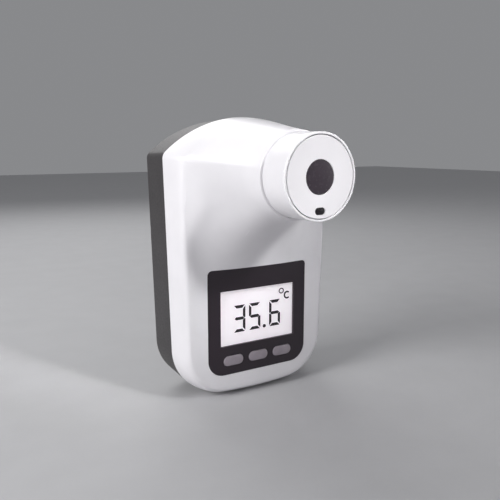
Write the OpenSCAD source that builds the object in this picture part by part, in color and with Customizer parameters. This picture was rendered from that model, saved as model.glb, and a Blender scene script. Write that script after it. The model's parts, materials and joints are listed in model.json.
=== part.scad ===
// Wall-mounted infrared thermometer: a two-part case with a sensor nose, a
// display with three sprung keys below it, and a battery bay behind a snap door.
// The back face lies on the plane y = 0, the front faces -Y and +Z is up.

/* [Case] */
// Overall height of the case
body_h = 170; // [168:1:174]
// Width of the case at the shoulders
body_w = 110; // [109:0.5:112]
// Width of the case just above its bottom corners
foot_w = 104; // [103:0.5:106]
// Depth of the rear shell, from the wall to the parting line
rear_d = 26.8; // [26.4:0.1:27.2]
// Distance from the wall to the display face
face_d = 42.8; // [42.6:0.1:43]
// Wall thickness of the front shell
front_wall = 2.6; // [2.4:0.1:2.8]
// Wall thickness of the rear shell's sides
rear_wall = 2.4; // [2.2:0.1:2.6]
// Thickness of the rear shell's back
back_wall = 3.2; // [3.1:0.1:3.4]

/* [Nose] */
// Distance from the wall to the nose's front
nose_d = 102.4; // [101:0.2:104]
// Height of the nose's axis above the origin
nose_z = 52; // [51:0.5:52.5]
// Outer radius of the nose
nose_r = 23.2; // [23:0.1:23.3]
// Outer radius of the collar that the nose comes out of
collar_r = 24.8; // [24.7:0.1:25.2]
// Distance from the wall to the collar's front
collar_d = 82.5; // [82:0.5:84]
// Radius of the round sensor window
window_r = 9.1; // [8.8:0.1:9.2]

/* [Display] */
// Width of the dark panel
panel_w = 70.6; // [70:0.2:71]
// Height of the dark panel
panel_h = 65.9; // [65.5:0.1:66.2]
// Height of the panel's bottom edge above the origin
panel_z = -70.2; // [-70.5:0.1:-69.8]
// Width of the display window
lcd_w = 53.5; // [53:0.1:54]
// Height of the display window
lcd_h = 34.35; // [34.1:0.05:34.6]
// Height of the display window's top edge
lcd_top = -17.9; // [-18.2:0.1:-17.7]

/* [Keys] */
// Distance between neighbouring keys
key_pitch = 17.9; // [17.6:0.1:18.2]
// Height of the keys' centres
key_z = -61.7; // [-61.9:0.1:-61.5]
// Width of a key
key_w = 13.9; // [13.5:0.1:14.1]
// Height of a key
key_h = 6.2; // [6:0.1:6.4]

/* [Hidden] */
$fn = 48;

// Case outline
bow_r = 300;
corner_r = 31;
shoulder_r = 6;
arch_r = 80;
rear_draft = 1.2;
edge_in = 5.5;
top_z = body_h / 2;
bow_cz = bow_r - body_h / 2;
corner_cx = foot_w / 2 - corner_r;
corner_cz = bow_cz - sqrt((bow_r - corner_r) ^ 2 - corner_cx ^ 2);
shoulder_cx = body_w / 2 - shoulder_r;
arch_cz = top_z - arch_r;
shoulder_cz = arch_cz + sqrt((arch_r - shoulder_r) ^ 2 - shoulder_cx ^ 2);
bow_end = atan2(corner_cz - bow_cz, corner_cx);
arch_start = atan2(shoulder_cz - arch_cz, shoulder_cx);

// Hump between the display face and the collar
hump_down = 75;
hump_side = 50;
hump_power = 3;
hump_h = collar_d - face_d;
lead_share = 0.12;
lead_d = 14;
near_share = 0.22;
near_d = 16;
outer_shares = [0, 0.03, 0.06, 0.085, 0.11, 0.14, 0.175, 0.215, 0.26, 0.31, 0.37, 0.43, 0.49, 0.55,
    0.61, 0.67, 0.73, 0.79, 0.85, 0.9, 0.95, 1];
inner_shares = [0, 0.06, 0.11, 0.16, 0.23, 0.32, 0.42, 0.52, 0.62, 0.72, 0.82, 0.92, 1];

// Display, keys and boards
panel_top_r = 2.7;
panel_foot_r = 10.7;
panel_t = 1.5;
fit = 0.15;
board_d = 31.4;
board_t = 1.6;
stem_r = 1.8;
key_flange = 1.3;
key_proud = 0.6;
switch_h = 3.2;
plunger_tip = board_d + switch_h + 1;

// Screws
pilot_r = 1.25;
case_screw_at = [[45, 22], [45, -52]];
board_screw_at = [[37, -0.5], [37, -68]];
usb_screw_at = [[12, -71], [26, -71]];
post_radius = 15;
post_angles = [90, 210, 330];

// Battery bay
cell_r = 5.25;
cell_l = 44.5;
cell_pitch = 11.2;
cell_y = -8.6;
bay_w = 45.8;
bay_z = -36;
bay_h = 51;
bay_floor = 14.4;
bay_wall = 1.6;
door_w = 52;
door_t = 1.7;
door_y = -1.2;
door_foot = -65.2;
door_top = -7.5;

// Bottom sockets
tripod_y = -14;
tripod_r = 2.6;
usb_x = 19;
usb_y = -18;
usb_mouth = -83.2;

function lerp(a, b, t) = a + (b - a) * t;
function ease(t) = let (c = min(max(t, 0), 1)) c * c * (3 - 2 * c);
function arc(cx, cz, r, a0, a1, n) =
    [for (k = [0:n - 1]) let (a = lerp(a0, a1, k / n)) [cx + r * cos(a), cz + r * sin(a)]];

// Right half of the case outline, moved inwards by d, from the bottom to the top
function half_outline(d) = concat(
    arc(0, bow_cz, bow_r - d, -90, bow_end, 5),
    arc(corner_cx, corner_cz, corner_r - d, bow_end, 0, 8),
    [for (k = [0:11])
        lerp([corner_cx + corner_r - d, corner_cz], [shoulder_cx + shoulder_r - d, shoulder_cz],
            k / 12)],
    arc(shoulder_cx, shoulder_cz, shoulder_r - d, 0, arch_start, 4),
    arc(0, arch_cz, arch_r - d, arch_start, 90, 10));

function outline(d) = let (half = half_outline(d), n = len(half)) concat(
    half, [[0, top_z - d]],
    [for (k = [1:n - 1]) [-half[n - k].x, half[n - k].y]]);

// Rise of the hump above the display face at a point of the lower front
function foot_radius(angle) =
    ((abs(cos(angle)) / hump_down) ^ hump_power + (abs(sin(angle)) / hump_side) ^ hump_power)
        ^ (-1 / hump_power);
function hump_rise(x, z) =
    let (far = norm([x, z - nose_z]), foot = foot_radius(atan2(x, nose_z - z)),
        t = min(max((far - collar_r) / (foot - collar_r), 0), 1))
    hump_h * (1 - sqrt(1 - (1 - t) ^ 2));

function bezier(p, t) = (1 - t) ^ 3 * p[0] + 3 * (1 - t) ^ 2 * t * p[1]
    + 3 * (1 - t) * t ^ 2 * p[2] + t ^ 3 * p[3];

// The points of a path at shares of its length
function spaced(path, shares) =
    let (last = len(path) - 1,
        along = [for (k = 0, s = 0; k <= last; s = s + norm(path[min(k + 1, last)] - path[k]),
            k = k + 1) s],
        table = [for (axis = [0:2]) [for (k = [0:last]) [along[k], path[k][axis]]]])
    [for (share = shares) [for (axis = [0:2]) lookup(share * along[last], table[axis])]];

// Each meridian of the front runs from the parting line to the collar. The lower ones
// go over the edge, along the face and up the hump; the upper ones go straight there.
function low_path(arcs, foot, collar, toward, face) =
    let (centre = [0, nose_z], steps = len(arcs) - 1, edge = arcs[steps])
    concat(
        [for (k = [0:steps - 1]) let (p = arcs[k])
            [p.x, -lerp(rear_d, face, sin(90 * k / steps)), p.y]],
        [[edge.x, -face, edge.y]],
        [for (k = [0:16]) let (p = centre + lerp(foot, collar, sin(90 * k / 16)) * toward)
            [p.x, -lerp(face, collar_d, 1 - cos(90 * k / 16)), p.y]]);

function top_path(rim, end) =
    let (lead = lerp(rim, end, lead_share), near = lerp(end, rim, near_share),
        p = [[rim.x, -rear_d, rim.y], [lead.x, -rear_d - lead_d, lead.y],
            [near.x, -collar_d + near_d, near.y], [end.x, -collar_d, end.y]])
    [for (k = [0:24]) bezier(p, k / 24)];

// Rings of the front, moved inwards by inset, at shares of the way to the collar
function front_rings(inset, shares) =
    let (steps = 8, collar = collar_r - inset * 0.55, face = face_d - inset,
        arcs = [for (k = [0:steps]) outline(inset + edge_in * (1 - cos(90 * k / steps)))],
        paths = [for (i = [0:len(arcs[0]) - 1])
            let (rim = arcs[0][i], angle = atan2(rim.x, nose_z - rim.y),
                toward = [sin(angle), -cos(angle)], centre = [0, nose_z],
                foot = min(foot_radius(angle) - inset * 0.4, norm(arcs[steps][i] - centre) - 0.3),
                low = low_path([for (arc = arcs) arc[i]], foot, collar, toward, face))
            lerp(spaced(low, shares), spaced(top_path(rim, centre + collar * toward), shares),
                ease((abs(angle) - 50) / 75))])
    [for (k = [0:len(shares) - 1]) [for (path = paths) path[k]]];

function reversed(list) = [for (k = [len(list) - 1:-1:0]) list[k]];

// A solid whose skin joins rings of points, closed on itself or capped at both ends
module skin(rings, closed = false) {
    n = len(rings[0]);
    m = len(rings);
    last = closed ? m - 1 : m - 2;
    sides = [for (j = [0:last], i = [0:n - 1], half = [0, 1])
        let (a = j * n + i, b = j * n + (i + 1) % n,
            c = ((j + 1) % m) * n + (i + 1) % n, d = ((j + 1) % m) * n + i)
        half == 0 ? [a, c, b] : [a, d, c]];
    caps = closed ? [] : [[for (i = [0:n - 1]) i], [for (i = [n - 1:-1:0]) (m - 1) * n + i]];
    polyhedron(points = [for (ring = rings, p = ring) p], faces = concat(sides, caps));
}

// A tube of round section along a route of points
module tube(route, r) {
    sides = 8;
    n = len(route);
    rings = [for (k = [0:n - 1])
        let (way = route[min(k + 1, n - 1)] - route[max(k - 1, 0)], f = way / norm(way),
            ref = abs(f.x) < 0.9 ? [1, 0, 0] : [0, 0, 1],
            u = cross(f, ref) / norm(cross(f, ref)), v = cross(f, u))
        [for (s = [0:sides - 1])
            route[k] + r * (cos(360 * s / sides) * u + sin(360 * s / sides) * v)]];
    skin(rings);
}

function smooth_route(points, n) = [for (k = [0:len(points) - 3], s = [0:n - 1])
    let (t = s / n, a = k == 0 ? points[0] : (points[k] + points[k + 1]) / 2,
        c = k == len(points) - 3 ? points[k + 2] : (points[k + 1] + points[k + 2]) / 2)
    (1 - t) ^ 2 * a + 2 * (1 - t) * t * points[k + 1] + t ^ 2 * c];
function route(points, n) = concat(smooth_route(points, n), [points[len(points) - 1]]);

// A round bar along Y from depth d0 to depth d1 (distances from the wall)
module bar(x, z, r, d0, d1) {
    translate([x, -d0, z]) rotate([90, 0, 0]) cylinder(r = r, h = d1 - d0);
}

// A flat block between two depths, given by its middle and size across
module slab(x, z, w, h, d0, d1) {
    translate([x - w / 2, -d1, z - h / 2]) cube([w, d1 - d0, h]);
}

// An oval bar along Y
module oval(x, z, w, h, d0, d1) {
    for (side = [-1, 1]) bar(x + side * (w - h) / 2, z, h / 2, d0, d1);
    slab(x, z, w - h, h, d0, d1);
}

module both_sides() {
    children();
    mirror([1, 0, 0]) children();
}

// Width of the dark panel at a height, with its rounded corners
function panel_half(z, grow) =
    let (low = z - panel_z + grow, high = panel_z + panel_h + grow - z,
        rf = panel_foot_r + grow, rt = panel_top_r + grow, full = panel_w / 2 + grow)
    low < rf ? full - rf + sqrt(max(rf ^ 2 - (rf - low) ^ 2, 0))
    : high < rt ? full - rt + sqrt(max(rt ^ 2 - (rt - high) ^ 2, 0)) : full;

// The panel's plate, which follows the front; front and back are shifts along Y
module panel_plate(grow, front, back) {
    cols = 16;
    foot = panel_z - grow;
    top = panel_z + panel_h + grow;
    rows = concat(
        [for (k = [0:7]) foot + (panel_foot_r + grow) * (1 - cos(11.25 * k))],
        [for (k = [0:1]) lerp(foot + panel_foot_r + grow, lcd_top - 3, k / 2)],
        [for (k = [0:6]) lerp(lcd_top - 3, top - panel_top_r - grow, k / 7)],
        [for (k = [0:4]) top - (panel_top_r + grow) * (1 - sin(22.5 * k))]);
    face = [for (z = rows) [for (k = [0:cols])
        let (x = lerp(-1, 1, k / cols) * panel_half(z, grow)) [x, -face_d - hump_rise(x, z), z]]];
    rings = [for (row = face) concat(
        [for (p = row) p + [0, front, 0]], reversed([for (p = row) p + [0, back, 0]]))];
    skin(rings);
}

module rear_shell() {
    color("#47474b") difference() {
        union() {
            difference() {
                skin([
                    [for (p = outline(rear_draft + 1.4)) [p.x, 0, p.y]],
                    [for (p = outline(rear_draft + 0.4)) [p.x, -0.4, p.y]],
                    [for (p = outline(rear_draft)) [p.x, -1.4, p.y]],
                    [for (p = outline(0)) [p.x, -rear_d, p.y]]]);
                skin([
                    [for (p = outline(rear_draft + rear_wall)) [p.x, -back_wall, p.y]],
                    [for (p = outline(rear_wall)) [p.x, -rear_d - 1, p.y]]]);
            }
            slab(0, bay_z, bay_w + 2 * bay_wall, bay_h + 2 * bay_wall,
                back_wall - 1, bay_floor + bay_wall);
            both_sides() for (p = case_screw_at) bar(p.x, p.y, 4.2, back_wall - 1, rear_d);
            for (p = usb_screw_at) bar(p.x, p.y, 2.2, back_wall - 1, -usb_y - 2.9);
            translate([0, tripod_y, -body_h / 2 + 0.2]) cylinder(r = 8, h = 13);
        }
        // Battery bay, with the door's seat and the finger scoop above it
        slab(0, bay_z, bay_w, bay_h, -1, bay_floor);
        slab(0, (door_foot + door_top) / 2 - 0.45, door_w + 0.5, door_top - door_foot + 1.4, -1,
            -door_y + door_t / 2 + 0.25);
        both_sides() translate([door_w / 2, door_y, door_foot]) rotate([0, 90, 0])
            cylinder(r = 0.76, h = 2.3);
        translate([0, 6.2, door_top + 1]) sphere(r = 8);
        for (x = [-1.5, 1.5] * cell_pitch) slab(x, bay_z + bay_h / 2 + 1, 3.6, 4,
            -cell_y - 0.6, -cell_y + 0.6);
        // Keyhole for the wall screw
        bar(0, 36, 4.4, -1, back_wall + 1);
        bar(0, 45, 2.3, -1, back_wall + 1);
        slab(0, 40.5, 4.6, 9, -1, back_wall + 1);
        // Sound holes behind the buzzer
        for (k = [-2:2]) bar(-37, -20 + 4 * k, 0.9, -1, back_wall + 1);
        // Screw wells and posts
        both_sides() for (p = case_screw_at) {
            bar(p.x, p.y, 3.1, -1, 14);
            bar(p.x, p.y, 1.7, 13, rear_d + 1);
        }
        for (p = usb_screw_at) bar(p.x, p.y, 0.95, 8, 20);
        // Tripod insert and charging socket
        translate([0, tripod_y, -body_h / 2 - 1]) cylinder(r = 5, h = 12.4);
        translate([usb_x, usb_y, -body_h / 2 - 2]) usb_oval(9.6, 3.9, 9);
    }
}

// A rib that tapers from a boss down to the shell's face, above or below the boss
module gusset(at, near, far, depth) {
    side = at.y < 0 ? 1 : -1;
    hull() {
        slab(at.x, at.y + side * near, 1.4, 1, depth, face_d - 1.6);
        slab(at.x, at.y + side * (near + far), 1.4, 1, face_d - 2.8, face_d - 1.6);
    }
}

// The skins that follow the hump are faceted; resize() holds them to their exact width
module front_shell() {
    $fn = 24;
    color("#f2f1f3") resize([body_w, 0, 0]) difference() {
        union() {
            skin(concat(front_rings(0, outer_shares), reversed(front_rings(front_wall,
                inner_shares))), closed = true);
            both_sides() {
                for (p = case_screw_at) {
                    bar(p.x, p.y, 3.6, rear_d + 0.2, face_d - 1.6);
                    gusset(p, 3, 3.4, rear_d + 4);
                }
                for (p = board_screw_at) {
                    bar(p.x, p.y, 2.8, board_d, face_d - 1.6);
                    gusset(p, 2.4, 2.6, board_d + 2);
                }
            }
        }
        panel_plate(fit, -12, panel_t + 0.05);
        slab(0, lcd_top - lcd_h / 2, lcd_w + 1.5, lcd_h + 1.5, face_d - 4, face_d + 2);
        for (k = [-1:1]) oval(k * key_pitch, key_z, key_w + 1.2, key_h + 1.2,
            face_d - 4, face_d + 2);
        both_sides() {
            for (p = case_screw_at) bar(p.x, p.y, pilot_r, rear_d - 1, face_d - 3);
            for (p = board_screw_at) bar(p.x, p.y, 0.95, board_d - 1, face_d - 3.4);
        }
    }
}

// A turned part about the nose's axis; the profile holds [radius, depth] points
module turned(profile) {
    translate([0, 0, nose_z]) rotate([90, 0, 0]) rotate_extrude($fn = 96) polygon(profile);
}

module nose_sleeve() {
    color("#f2f1f3") turned([
        [21.9, 76], [nose_r - 0.1, 76], [nose_r - 0.1, 80], [nose_r, 82], [nose_r, nose_d - 1.4],
        [21.9, nose_d - 1.4], [21.9, nose_d - 5.4], [20.4, nose_d - 5.4],
        [20.4, nose_d - 7], [21.9, nose_d - 8.5]]);
}

module nose_bezel() {
    color("#f6f5f7") turned([
        [22, nose_d - 1.4], [nose_r, nose_d - 1.4], [nose_r, nose_d - 0.5],
        [nose_r - 0.15, nose_d - 0.15], [nose_r - 0.5, nose_d], [22.2, nose_d],
        [22, nose_d - 0.2]]);
}

module sensor_dish() {
    color("#eeedf0") difference() {
        union() {
            turned([
                [window_r + 0.1, nose_d - 2.4], [window_r + 0.1, nose_d - 1], [9.6, nose_d - 0.8],
                [21.2, nose_d - 0.15], [21.6, nose_d - 0.5], [21.6, nose_d - 5.3],
                [20.2, nose_d - 5.3], [19.8, nose_d - 2.6], [12.6, nose_d - 3.2],
                [12.6, nose_d - 9], [11.2, nose_d - 9], [11.2, nose_d - 3.6],
                [window_r - 1, nose_d - 3.6], [window_r - 1, nose_d - 2.4]]);
            for (a = post_angles) bar(post_radius * cos(a), nose_z + post_radius * sin(a), 2.2,
                84.2, nose_d - 2);
        }
        oval(0, nose_z - 17.65, 6.9, 3.95, nose_d - 8, nose_d + 1);
        for (a = post_angles) bar(post_radius * cos(a), nose_z + post_radius * sin(a), 0.95,
            80, 92);
    }
}

module sensor_window() {
    color("#463f46") turned([
        [0, nose_d - 2.35], [window_r, nose_d - 2.35], [window_r, nose_d - 1.2],
        [window_r - 0.3, nose_d - 0.95], [0, nose_d - 0.9]]);
}

module proximity_window() {
    color("#1c181c") oval(0, nose_z - 17.65, 6.8, 3.85, nose_d - 3.6, nose_d - 0.7);
}

module sensor_holder() {
    color("#c9a24a") turned([
        [4.8, 86.4], [9.5, 86.4], [9.5, 88], [10.9, 88], [10.9, nose_d - 4], [8, nose_d - 4],
        [8, nose_d - 6], [4.3, nose_d - 9], [4.3, 89], [4.8, 89]]);
}

module thermopile_sensor() {
    color("#b9bcc0") turned([
        [0, 86.4], [4.7, 86.4], [4.7, 87], [4.2, 87], [4.2, 91.6], [1.6, 91.6], [1.6, 91.2],
        [0, 91.2]]);
    color("#b9bcc0") for (a = [45:90:315]) bar(2.4 * cos(a), nose_z + 2.4 * sin(a), 0.25,
        82, 86.4);
}

module proximity_sensor() {
    z = nose_z - 17.65;
    color("#2a2a2e") slab(0, z, 5.8, 3, 84, nose_d - 5);
    color("#2a2a2e") for (x = [-1.4, 1.4]) bar(x, z, 1, nose_d - 5, nose_d - 4);
}

module sensor_board() {
    color("#2f6b45") difference() {
        bar(0, nose_z, 20.6, 82.4, 84);
        for (a = post_angles) bar(post_radius * cos(a), nose_z + post_radius * sin(a), 1.2,
            82, 85);
        for (a = [45:90:315]) bar(2.4 * cos(a), nose_z + 2.4 * sin(a), 0.4, 82, 85);
    }
}

// A pan-head screw along Y, with a cross recess in its head
module screw(x, z, head_r, head_h, shank_r, d0, d1) {
    difference() {
        union() {
            bar(x, z, head_r, d0, d0 + head_h);
            bar(x, z, shank_r, d0 + head_h, d1);
        }
        slab(x, z, head_r * 1.2, head_r * 0.3, d0 - 1, d0 + head_h * 0.6);
        slab(x, z, head_r * 0.3, head_r * 1.2, d0 - 1, d0 + head_h * 0.6);
    }
}

module sensor_screws() {
    color("#c4c7cb") for (a = post_angles)
        screw(post_radius * cos(a), nose_z + post_radius * sin(a), 1.8, 1.2, 0.9, 81.2, 89);
}

module sensor_cable() {
    color("#d8d8d8") tube(route([[7, -82.3, 44], [7, -74, 44], [7, -62, 40], [7, -48, 26],
        [7, -38, 8], [7, -37, -0.2]], 4), 1.4);
}

module display_panel() {
    color("#372e36") resize([panel_w, 0, 0]) difference() {
        panel_plate(0, -0.05, panel_t - 0.05);
        slab(0, lcd_top - lcd_h / 2, lcd_w, lcd_h, face_d - 4, face_d + 2);
        for (k = [-1:1]) oval(k * key_pitch, key_z, key_w + 0.5, key_h + 0.5,
            face_d - 4, face_d + 2);
    }
}

module lcd_window() {
    color("#e9e4ea", 0.4) slab(0, lcd_top - lcd_h / 2, lcd_w - 0.1, lcd_h - 0.1,
        face_d - 1.2, face_d - 0.3);
}

module lcd_glass() {
    color("#f4edf3") slab(0, lcd_top - lcd_h / 2, lcd_w + 1, lcd_h + 1, face_d - 3.5,
        face_d - 1.7);
}

module lcd_light_guide() {
    color("#f7f7f7") slab(0, -34.7, 58, 31.4, 35.6, face_d - 3.6);
}

module backlight_leds() {
    color("#f3e9b8") for (x = [-18, 0, 18]) slab(x, -17.4, 3.5, 2.6, 34.5, 38.5);
}

module lcd_holder() {
    color("#d9dadd") difference() {
        slab(0, -34.5, 66, 43, board_d + 0.1, 39.9);
        slab(0, -34.5, 60, 38, board_d - 1, 41);
    }
}

module lcd_connector() {
    color("#e58aa0") slab(0, -51.9, 46, 2, board_d + 0.1, face_d - 3.6);
}

module button(k) {
    x = k * key_pitch;
    color("#837d83") {
        oval(x, key_z, key_w, key_h, 39.5, face_d + key_proud - 0.35);
        oval(x, key_z, key_w - 0.7, key_h - 0.7, face_d + key_proud - 0.35, face_d + key_proud);
        oval(x, key_z, key_w + 2 * key_flange, key_h + 2 * key_flange, 38.6, 39.7);
        bar(x, key_z, stem_r, plunger_tip, 38.7);
    }
}

module plunger(k) {
    color("#2b2b2b") bar(k * key_pitch, key_z, 1.6, board_d + switch_h - 1.4, plunger_tip);
}

module tact_switches() {
    color("#c0c2c6") for (k = [-1:1]) difference() {
        slab(k * key_pitch, key_z, 6, 6, board_d, board_d + switch_h);
        bar(k * key_pitch, key_z, 1.7, board_d + 0.9, board_d + switch_h + 1);
    }
}

module main_board() {
    color("#2f6b45") difference() {
        slab(0, -34.75, 80, 76.5, board_d - board_t, board_d);
        both_sides() {
            for (p = board_screw_at) bar(p.x, p.y, 1.2, board_d - 3, board_d + 1);
            translate([case_screw_at[1].x, 0, case_screw_at[1].y]) bar(0, 0, 5.2, 20, 40);
            translate([40, 0, -73]) rotate([0, 45, 0]) cube([9, 100, 9], center = true);
        }
    }
}

module board_chips() {
    back = board_d - board_t;
    color("#26262a") {
        slab(4, -32, 12, 12, back - 1.5, back);
        slab(-13, -44, 5, 6, back - 1.4, back);
        slab(22, -20, 6, 5, back - 1.4, back);
        slab(24, -52, 8, 6, back - 2, back);
        for (x = [8, 13]) bar(x, -52, 2, back - 5, back);
        for (k = [0:5]) slab(-6 + 3 * k, -44, 1.6, 2.4, back - 0.8, back);
    }
}

module cable_header() {
    color("#efe9d8") slab(7, -4.6, 10, 7.4, board_d, 39.2);
}

module buzzer() {
    back = board_d - board_t;
    color("#1f1f22") difference() {
        bar(-28, -22, 6.4, back - 5, back);
        bar(-28, -22, 1.2, back - 6, back - 3);
    }
}

module board_screws() {
    color("#c4c7cb") {
        both_sides() for (p = board_screw_at) screw(p.x, p.y, 1.9, 1.3, 0.9,
            board_d - board_t - 1.3, 38.6);
        for (p = usb_screw_at) mirror([0, 1, 0]) screw(p.x, p.y, 1.9, 1.3, 0.9,
            usb_y + 0.35, -9);
    }
}

module usb_board() {
    color("#2f6b45") difference() {
        slab(usb_x, -74.1, 20, 11, -usb_y - 2.9, -usb_y - 1.65);
        for (p = usb_screw_at) bar(p.x, p.y, 1.2, 10, 20);
    }
}

// A flat oval bar standing along Z
module usb_oval(w, t, h) {
    for (side = [-1, 1]) translate([side * (w - t) / 2, 0, 0]) cylinder(r = t / 2, h = h);
    translate([-(w - t) / 2, -t / 2, 0]) cube([w - t, t, h]);
}

module usb_socket() {
    color("#b9bcc0") translate([usb_x, usb_y, usb_mouth]) difference() {
        usb_oval(8.94, 3.26, 7.3);
        translate([0, 0, -1]) usb_oval(8.34, 2.66, 7.3);
    }
}

module usb_tongue() {
    color("#1f1f22") translate([usb_x - 3.35, usb_y - 0.35, usb_mouth + 0.9])
        cube([6.7, 0.7, 5.4]);
}

module usb_lead() {
    x = usb_x - 4;
    color("#2b2b2b") tube(route([[x, usb_y + 1.6, -71], [x, -21, -71], [x, -25, -66],
        [x, -29.7, -66]], 4), 0.9);
}

// One cell standing on its flat end, with its positive cap on top
module cell() {
    cylinder(r = cell_r, h = cell_l - 0.9);
    cylinder(r = 1.9, h = cell_l);
}

// Places its children in each cell's slot, every other one turned over
module cell_slots() {
    for (k = [0:3]) translate([(k - 1.5) * cell_pitch, cell_y, bay_z])
        mirror([0, 0, k % 2]) children();
}

module battery_cells() {
    color("#3c6fb0") cell_slots() translate([0, 0, bay_h / 2 - 0.5 - cell_l]) cell();
}

module battery_springs() {
    foot = -bay_h / 2 + 0.4;
    top = bay_h / 2 - 0.5 - cell_l;
    color("#d0d2d5") cell_slots() rotate_extrude()
        polygon([[3.4, foot], [4.1, foot], [2.7, top], [2, top]]);
}

module battery_contacts() {
    color("#d0d2d5") {
        cell_slots() for (z = [-bay_h / 2, bay_h / 2 - 0.4])
            translate([-4.5, -4.6, z]) cube([9, 9.2, 0.4]);
        for (x = [-1.5, 1.5] * cell_pitch) slab(x, bay_z + bay_h / 2 + 1.4, 3, 3,
            -cell_y - 0.2, -cell_y + 0.2);
    }
}

module battery_lead(side) {
    x = side * 1.5 * cell_pitch;
    tube(route([[x, cell_y, -7.5], [x, cell_y, 1], [x, -20, 5], [x, -24, -5],
        [x, -29.7, -5]], 4), 0.7);
}

module battery_lead_red() {
    color("#b32025") battery_lead(1);
}

module battery_lead_black() {
    color("#1f1f22") battery_lead(-1);
}

module battery_door() {
    color("#4d4d52") difference() {
        union() {
            slab(0, (door_foot + door_top) / 2, door_w, door_top - door_foot,
                -door_y - door_t / 2, -door_y + door_t / 2);
            translate([-door_w / 2, door_y, door_foot]) rotate([0, 90, 0])
                cylinder(r = door_t / 2, h = door_w);
            translate([-door_w / 2 - 1.8, door_y, door_foot]) rotate([0, 90, 0])
                cylinder(r = 0.7, h = door_w + 3.6);
        }
        for (k = [0:4]) slab(0, door_top - 5 - 2 * k, 18, 0.8, -2,
            -door_y - door_t / 2 + 0.4);
    }
}

module tripod_insert() {
    color("#c9a24a") translate([0, tripod_y, -body_h / 2 + 0.2]) difference() {
        cylinder(r = 4.98, h = 11);
        translate([0, 0, -1]) cylinder(r = tripod_r, h = 10.5);
    }
}

module case_screws() {
    color("#c4c7cb") both_sides() for (p = case_screw_at)
        screw(p.x, p.y, 2.7, 1.8, pilot_r - 0.05, 12.2, face_d - 4);
}

rear_shell();
front_shell();
nose_sleeve();
nose_bezel();
sensor_dish();
sensor_window();
proximity_window();
sensor_holder();
thermopile_sensor();
proximity_sensor();
sensor_board();
sensor_screws();
sensor_cable();
display_panel();
lcd_window();
lcd_glass();
lcd_light_guide();
backlight_leds();
lcd_holder();
lcd_connector();
button(-1);  // button_left
button(0);  // button_middle
button(1);  // button_right
plunger(-1);  // plunger_left
plunger(0);  // plunger_middle
plunger(1);  // plunger_right
tact_switches();
main_board();
board_chips();
cable_header();
buzzer();
board_screws();
usb_board();
usb_socket();
usb_tongue();
usb_lead();
battery_cells();
battery_springs();
battery_contacts();
battery_lead_red();
battery_lead_black();
battery_door();
tripod_insert();
case_screws();
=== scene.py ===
"""Looks of the wall-mounted infrared thermometer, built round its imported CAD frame.

Lengths are millimetres, and meshes are scaled to metres as they are made. Only the camera, the lights,
the floor and the relief of materials are in metres. The back face lies on y = 0, the front faces -Y and
+Z is up.
"""
import json
import math

import bmesh
import bpy
import numpy as np
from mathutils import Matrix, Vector


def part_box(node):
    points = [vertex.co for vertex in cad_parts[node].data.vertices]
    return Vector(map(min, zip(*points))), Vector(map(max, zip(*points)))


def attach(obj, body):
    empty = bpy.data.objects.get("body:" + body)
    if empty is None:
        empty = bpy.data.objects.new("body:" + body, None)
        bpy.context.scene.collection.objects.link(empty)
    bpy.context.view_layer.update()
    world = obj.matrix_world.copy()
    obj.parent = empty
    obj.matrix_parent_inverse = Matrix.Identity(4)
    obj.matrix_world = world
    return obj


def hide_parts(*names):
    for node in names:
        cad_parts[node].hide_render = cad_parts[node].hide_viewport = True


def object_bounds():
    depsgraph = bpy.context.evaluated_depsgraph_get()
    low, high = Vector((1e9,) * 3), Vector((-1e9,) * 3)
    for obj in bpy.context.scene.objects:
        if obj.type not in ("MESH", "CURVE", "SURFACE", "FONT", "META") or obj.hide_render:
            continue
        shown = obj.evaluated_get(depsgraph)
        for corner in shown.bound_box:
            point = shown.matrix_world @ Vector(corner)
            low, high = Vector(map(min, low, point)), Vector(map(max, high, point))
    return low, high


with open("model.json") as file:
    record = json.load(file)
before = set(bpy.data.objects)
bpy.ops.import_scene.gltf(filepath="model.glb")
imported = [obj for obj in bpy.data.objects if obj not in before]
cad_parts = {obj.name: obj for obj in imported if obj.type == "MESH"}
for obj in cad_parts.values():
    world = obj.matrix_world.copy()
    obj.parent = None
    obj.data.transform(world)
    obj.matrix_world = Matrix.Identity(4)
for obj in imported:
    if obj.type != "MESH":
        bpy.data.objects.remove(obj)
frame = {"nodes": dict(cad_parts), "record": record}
cad_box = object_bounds()

MM = 0.001


def span(node):
    """Lowest and highest corners of a CAD node, in millimetres."""
    low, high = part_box(node)
    return Vector(low) / MM, Vector(high) / MM


# ---------------------------------------------------------------- driving sizes, read from the frame
front_low, front_high = span("front_shell")
bezel_low, bezel_high = span("nose_bezel")
panel_low, panel_high = span("display_panel")
glass_low, glass_high = span("lcd_window")
cell_low, _ = span("lcd_glass")
key_low, key_high = span("button_left")

BODY_W = front_high.x - front_low.x
BODY_H = front_high.z - front_low.z
REAR_D = -front_high.y
COLLAR_D = -front_low.y
NOSE_D = -bezel_low.y
NOSE_R = (bezel_high.x - bezel_low.x) / 2
NOSE_Z = (bezel_high.z + bezel_low.z) / 2
LCD_W = glass_high.x - glass_low.x + 0.1
LCD_H = glass_high.z - glass_low.z + 0.1
LCD_Z = (glass_high.z + glass_low.z) / 2
FACE_D = -glass_low.y + 0.3
PANEL_W = panel_high.x - panel_low.x
PANEL_H = panel_high.z - panel_low.z
PANEL_Z = panel_low.z

# Case
FOOT_W = 104
BOW_R = 300
CORNER_R = 31
SHOULDER_R = 6
ARCH_R = 80
REAR_DRAFT = 1.2
FRONT_WALL = 2.6
REAR_WALL = 2.4
BACK_WALL = 3.2
EDGE_IN = 5.5
COLLAR_R = 24.8
PARTING_GAP = 0.3

# Hump: its foot reaches this far down and sideways from the nose's axis
HUMP_DOWN = 75
HUMP_SIDE = 50
HUMP_POWER = 3
FACE_MIN = 0.3
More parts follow.
